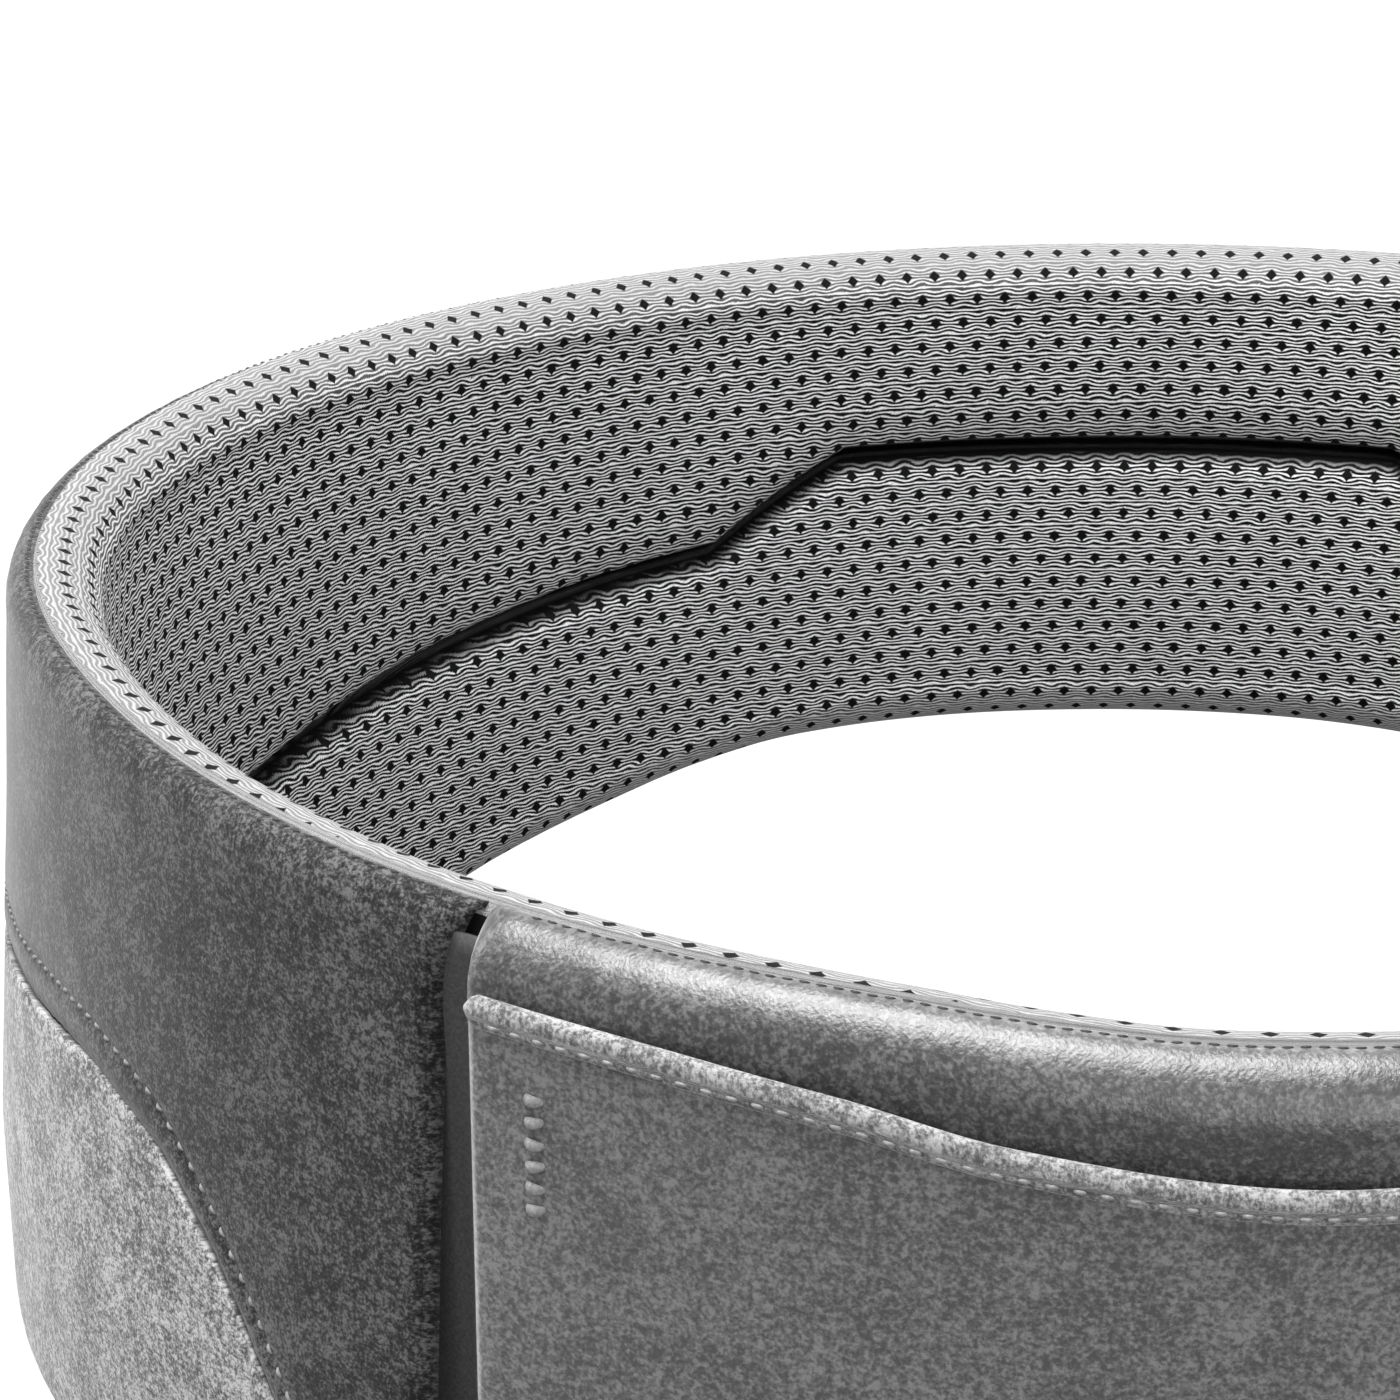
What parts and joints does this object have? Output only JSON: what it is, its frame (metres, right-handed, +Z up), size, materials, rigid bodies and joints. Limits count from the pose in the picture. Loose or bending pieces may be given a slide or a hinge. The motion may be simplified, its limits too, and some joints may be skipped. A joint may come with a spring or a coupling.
{
  "type": "padded waist belt",
  "caption": "Padded waist belt closed in a ring: two-pillow air-mesh lining, heather fabric shell, front slip pocket, webbing with side-release buckle.",
  "frame": {"origin": "centre of the ring's plan, on the surface it stands on (bottom centre of its box)", "axes": "+Z up along the wearer's spine, -Y towards the front pocket, +X to the side of the buckle"},
  "size_m": [0.3337, 0.3344, 0.107],
  "materials": {
    "mesh": "3-D spacer air mesh, grey, small diamond holes",
    "foam": "closed-cell foam",
    "stiffener": "flexible polyethylene sheet",
    "heather_dark": "dark grey heather weave",
    "heather_light": "light grey heather weave",
    "thread": "sewing thread",
    "binding": "grosgrain binding",
    "webbing": "woven nylon webbing",
    "moulded": "fine matt moulded acetal"
  },
  "bodies": {
    "belt": {"lining_upper": "mesh", "lining_lower": "mesh", "foam_upper": "foam", "foam_lower": "foam", "lumbar_stiffener": "stiffener", "shell_back": "heather_dark", "shell_left": "heather_dark", "shell_right": "heather_dark", "accent_left": "heather_light", "accent_right": "heather_light", "front_cover": "heather_dark", "front_foam": "foam", "pocket_panel": "heather_dark", "pocket_gusset": "heather_dark", "pocket_hem": "heather_light", "bar_tacks": "thread", "end_binding_wing": "binding", "end_binding_front": "binding", "webbing_front": "webbing", "webbing_rear": "webbing", "anchor_patch": "binding", "buckle_socket": "moulded"},
    "plug": {"buckle_plug": "moulded", "webbing_tail": "webbing"},
    "upper_prong": {"prong_upper": "moulded"},
    "lower_prong": {"prong_lower": "moulded"}
  },
  "joints": [
    {"name": "buckle_pull", "type": "hinge", "parent": "belt", "child": "plug", "pos_m": [0, 0, 0.046], "axis": [0, 0, 1], "range_deg": [-7, 0]},
    {"name": "upper_prong_squeeze", "type": "hinge", "parent": "plug", "child": "upper_prong", "pos_m": [0.14074, -0.09973, 0.0554], "axis": [0.8572, -0.515, 0], "range_deg": [-7, 0], "stiffness_Nm_per_rad": 0.6},
    {"name": "lower_prong_squeeze", "type": "hinge", "parent": "plug", "child": "lower_prong", "pos_m": [0.14074, -0.09973, 0.0366], "axis": [0.8572, -0.515, 0], "range_deg": [0, 7], "stiffness_Nm_per_rad": 0.6}
  ],
  "couplings": [
    {"joint": "lower_prong_squeeze", "follows": "upper_prong_squeeze", "ratio": -1}
  ]
}
